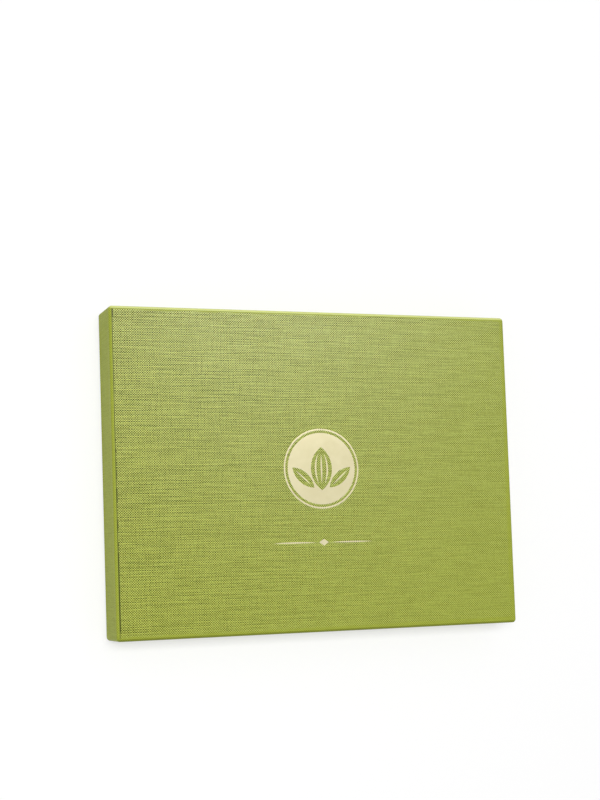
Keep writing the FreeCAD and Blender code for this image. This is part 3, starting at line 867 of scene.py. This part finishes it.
emblem_rise = 0.0013
emblem_ring = 0.001
emblem_ring_gap = 0.0016
emblem_field_radius = 0.022379
pod_length, pod_width = 0.027, 0.014
rib_length, rib_width = 0.019, 0.0011
rib_spread, rib_tip = 0.0039, 0.0019
leaf_length, leaf_width = 0.019, 0.007
vein_length, vein_width = 0.013, 0.0008
leaf_angle, leaf_offset, leaf_drop = 48.0, 0.0122, 0.0055
rule_drop, rule_length, rule_thickness, rule_gap = 0.0446, 0.066, 0.0009, 0.002
lozenge_length, lozenge_width = 0.0064, 0.0042
stamp_depth, stamp_edge, stamp_margin = 0.00008, (0.00015, 0.0005), 0.0011
lid_grid, stamp_grid, rule_margin, rule_span = 0.007, 0.00036, 0.0006, 0.003
tab_width, tab_step, tab_grid, tab_span = 0.013, 0.00012, 0.0002, 0.0004
press, press_and_shade_along, press_and_shade_across = 0.83, -0.17, 0.06
soft_edge, soft_press = 0.003, 0.65
panel_lead = 0.0002
# Painted light along the lid's folds: a highlight on the top fold, shade on the lower and left folds, and a
# painted shade line on the panel beside the folds, darkest on the left.
top_fold_highlight, lower_fold_shade, left_fold_shade = 0.95, -0.4, -0.05
left_edge_shade, edge_shade = -0.8, -0.1


def bulge(x, y, tip, middle, length):
    """Distance outside the circle through (tip, -length / 2), (middle, 0) and (tip, length / 2)."""
    rise = abs(middle - tip)
    radius = (length ** 2 / 4 + rise ** 2) / (2 * rise)
    centre = middle - math.copysign(radius, middle - tip)
    return np.hypot(x - centre, y) - radius


def pointed_oval(x, y, length, width):
    """Distance outside a lens along Y, the overlap of two equal circles."""
    return np.maximum(bulge(x, y, 0, width / 2, length), bulge(x, y, 0, -width / 2, length))


def foil_distance(x, y):
    """Distance outside the stamped foil: the medallion's ring, field, ribs and veins, and the rule below."""
    up = y - emblem_rise
    radius = np.hypot(x, up)
    ring_middle = emblem_field_radius + emblem_ring_gap + emblem_ring / 2
    ring = np.abs(radius - ring_middle) - emblem_ring / 2
    field = np.maximum(radius - emblem_field_radius, -pointed_oval(x, up, pod_length, pod_width))
    nearest = np.minimum(ring, pointed_oval(x, up, rib_length, rib_width))
    along = y + rule_drop
    stroke = (rule_length - lozenge_length) / 2 - rule_gap
    for side in (-1, 1):
        outer_arc = bulge(x, up, side * rib_tip, side * (rib_spread + rib_width / 2), rib_length)
        inner_arc = bulge(x, up, side * rib_tip, side * (rib_spread - rib_width / 2), rib_length)
        leaf_x, leaf_y = turned(x - side * leaf_offset, up + leaf_drop, -side * leaf_angle)
        field = np.maximum(field, -pointed_oval(leaf_x, leaf_y, leaf_length, leaf_width))
        stroke_middle = side * (lozenge_length / 2 + rule_gap + stroke / 2)
        rib = np.maximum(outer_arc, -inner_arc)
        vein = pointed_oval(leaf_x, leaf_y, vein_length, vein_width)
        rule = pointed_oval(along, x - stroke_middle, stroke, rule_thickness)
        nearest = np.minimum.reduce([nearest, rib, vein, rule])
    slant = math.hypot(lozenge_length, lozenge_width)
    lozenge = np.abs(x) * lozenge_width + np.abs(along) * lozenge_length - lozenge_length * lozenge_width / 2
    return np.minimum.reduce([nearest, field, lozenge / slant])


def span(middle, reach, step):
    """The stretch of grid lines, step apart, that goes reach to both sides of the middle."""
    return middle - reach, middle + reach, step


lid_low, lid_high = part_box("lid_wrap")
lid_flat = np.array([lid_high.x, lid_high.y]) - cover_corner_round
stamp_reach = emblem_field_radius + emblem_ring_gap + emblem_ring + stamp_edge[1] + stamp_margin
tab_edge = lid_high.y - tab_width
lines_x = grid_lines(lid_flat[0], lid_grid, span(0, rule_length / 2 + rule_margin, stamp_grid))
lines_y = grid_lines(lid_flat[1], lid_grid, span(emblem_rise, stamp_reach, stamp_grid),
                     span(-rule_drop, rule_span, stamp_grid),
                     span(tab_edge, tab_span, tab_grid), span(-tab_edge, tab_span, tab_grid))
panel_x, panel_y = np.meshgrid(lines_x, lines_y)
pressed_in = 1 - smooth_step(foil_distance(panel_x, panel_y), *stamp_edge)
panel_points = np.stack([panel_x, panel_y, lid_high.z - stamp_depth * pressed_in], axis=2)
soft_margin = np.minimum(lid_flat[0] - panel_x, lid_flat[1] + panel_y)
# The press deepens to the left and a little to the top; through the weave's pivot the deeper press also
# darkens the paper there, painted shade that makes the lid darker to its left.
even_depth = press + press_and_shade_along * panel_x / lid_flat[0] + press_and_shade_across * panel_y / lid_flat[1]
panel_depth = even_depth * (soft_press + (1 - soft_press) * smooth_step(soft_margin, 0, soft_edge))

lid_path, lid_directions, lid_flaps, lid_turns = rounded_path(lines_x, lines_y)
lid_stretches = folded_sheet(0, panel_lead, lid_high.z - lid_low.z)
lid_profile = np.concatenate(lid_stretches) * (1, -1) + (0, lid_high.z)
wall_start, rim_start = np.cumsum([len(stretch) for stretch in lid_stretches])[1:3]
on_wall = np.zeros(len(lid_profile))
on_wall[wall_start:rim_start] = 1
on_end = np.abs(lid_directions[:, 0]) > 0.999
no_tab = on_end * (1 - smooth_step(np.abs(lid_path[:, 1]), tab_edge - tab_grid, tab_edge + tab_grid))
wrap_points = carried(lid_path, lid_directions, lid_flat, lid_profile,
                      tab_step * (on_wall[:, None] * no_tab)[..., None])
wrap_depth = np.full(wrap_points.shape[:2], wall_press)
wrap_depth[:wall_start] = fold_press
to_right, to_top = lid_directions.T
# Painted light along the folds: highlight at the top, shade at the bottom and left, and a shade line on the
# panel beside them.
wrap_fold_light_shade = np.zeros(wrap_points.shape[:2])
wrap_fold_light_shade[flat_rows + 1:wall_start - 1] = (
    top_fold_highlight * np.maximum(to_top, 0) + lower_fold_shade * np.maximum(-to_top, 0)
    + left_fold_shade * np.maximum(-to_right, 0))
wrap_fold_light_shade[:flat_rows] = np.where(to_right < -0.9, left_edge_shade, edge_shade)

lid_points = np.concatenate([panel_points.reshape(-1, 3), wrap_points.reshape(-1, 3)])
lid_sheet = np.concatenate([panel_points[..., :2].reshape(-1, 2),
                            laid_flat(lid_path, lid_flaps, lid_turns, lid_profile).reshape(-1, 2)])
lid_faces = [*grid_faces(*panel_x.shape), *grid_faces(*wrap_points.shape[:2], panel_x.size, False, True),
             range(len(lid_points) - len(lid_path), len(lid_points))]
lid_cover = new_piece("lid_cover", lid_points, lid_faces, [linen_paper], uv=lid_sheet,
                      emboss=np.concatenate([panel_depth.ravel(), wrap_depth.ravel()]),
                      fold=np.concatenate([np.zeros(panel_x.size), wrap_fold_light_shade.ravel()]))
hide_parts("lid_wrap")
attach(lid_cover, "lid")

# Foil: pale champagne gold leaf, stamped hot into the lid's paper so that it lies just below it.
# A little of the weave still shows through it.

leaf_gold, pale_gold, foil_relief = (214, 205, 165), (222, 214, 176), 0.00002


def foil_material():
    """Bright leaf of two near golds, a little duller in the pits of a faint weave."""
    material, tree, shader = new_material("gold_foil", 0.12)
    weave = use_group(tree, linen_weave, {"Sheet": object_place(tree), "Depth": 0.5})
    pulp = use_group(tree, paper_pulp, {"Place": object_place(tree), "Size": 0.02})
    gold = mixed(tree, pulp["Clouds"], srgb(*leaf_gold), srgb(*pale_gold))
    tree.links.new(gold, shader["Base Color"])
    tree.links.new(ramp(tree, weave["Height"], 0.2, 0.8, 0.14, 0.10), shader["Roughness"])
    shader["Metallic"].default_value = 1.0
    raise_surface(tree, shader, weave["Height"], foil_relief)
    return material


gold_foil = foil_material()
dress(gold_foil, "foil_emblem", "foil_rule")

# Stage: a white table under the box and an even white surround. A large soft light overhead shades the
# box and isn't mirrored in it. A small one shows only as the pearl sheen across the top of the lid.

table_size, table_near, table_far, table_near_glow = 6.0, 0.25, 0.60, 0.58
surround_light, surround_seen = 0.40, 1.0
white = (1.0, 1.0, 1.0, 1.0)


def white_to_sight(tree):
    """1 for what the camera sees, directly, in a gloss or through glass, and 0 for what lights the box."""
    seen = add_node(tree, "LightPath").outputs
    direct = calculate(tree, "MAXIMUM", seen["Is Camera Ray"], seen["Is Glossy Ray"])
    return calculate(tree, "MAXIMUM", direct, seen["Is Transmission Ray"])


bpy.ops.mesh.primitive_plane_add(size=table_size)
table = bpy.context.object
table.name = "table"
table_white, tree, shader = new_material("table_white", 0.9)
shader["Base Color"].default_value = white
glow = add_node(tree, "Emission", {"Color": white, "Strength": 1.0})
from_box = add_node(tree, "VectorMath", {0: object_place(tree)}, operation="LENGTH").outputs["Value"]
own_white = ramp(tree, from_box, table_near, table_far, table_near_glow, 1.0)
both = add_node(tree, "MixShader", {0: calculate(tree, "MULTIPLY", white_to_sight(tree), own_white),
                                    1: tree.nodes["Principled BSDF"].outputs[0], 2: glow.outputs[0]})
tree.links.new(both.outputs[0], tree.nodes["Material Output"].inputs["Surface"])
table.data.materials.append(table_white)

world = bpy.data.worlds.new("white_surround")
world.use_nodes = True
sky = world.node_tree
strength = ramp(sky, white_to_sight(sky), 0.0, 1.0, surround_light, surround_seen)
sky.nodes["Background"].inputs["Color"].default_value = white
sky.links.new(strength, sky.nodes["Background"].inputs["Strength"])
bpy.context.scene.world = world


def stood_at(side, up, back, place):
    """Matrix of an object at place whose own axes are side, up and back."""
    return Matrix([*zip(side, up, back, place), (0, 0, 0, 1)])


def soft_light(name, place, width, depth, power, lights=True, shines=True):
    """A rectangular soft light at place that faces the origin; depth is its side that runs with Y.

    One that lights is seen by matt surfaces, and one that shines is seen in glossy ones.
    """
    lamp = bpy.data.lights.new(name, "AREA")
    lamp.shape = "RECTANGLE"
    lamp.size = width
    lamp.size_y = depth
    lamp.energy = power
    back = Vector(place).normalized()
    side = Vector((0, 1, 0)).cross(back).normalized()
    light = bpy.data.objects.new(name, lamp)
    light.matrix_world = stood_at(side, back.cross(side), back, place)
    light.visible_diffuse = lights
    light.visible_glossy = shines
    bpy.context.collection.objects.link(light)


soft_light("key_light", (-0.42, 0.24, 2.20), width=1.2, depth=0.55, power=34.0, shines=False)
soft_light("sheen_light", (0.345, 0.58, 1.10), width=0.10, depth=0.62, power=22.0, lights=False)

# Camera: a long lens that looks down on the lid of the lying box from a little to its left.
# The photo has the box stood up, so its upright is the lid's Y, and the lens is level with its lower third.

camera_data = bpy.data.cameras.new("camera")
camera_data.lens = 64.98
camera_data.shift_y = 0.0912
camera = bpy.data.objects.new("camera", camera_data)
camera_right = (0.9370, -0.0342, 0.3477)
camera_up = (0.0085, 0.9971, 0.0751)
camera_back = (-0.3492, -0.0674, 0.9346)
camera_place = (-0.3270, -0.0617, 0.8652)
camera.matrix_world = stood_at(camera_right, camera_up, camera_back, camera_place)
bpy.context.collection.objects.link(camera)
bpy.context.scene.camera = camera
bpy.context.scene.view_settings.view_transform = "Standard"
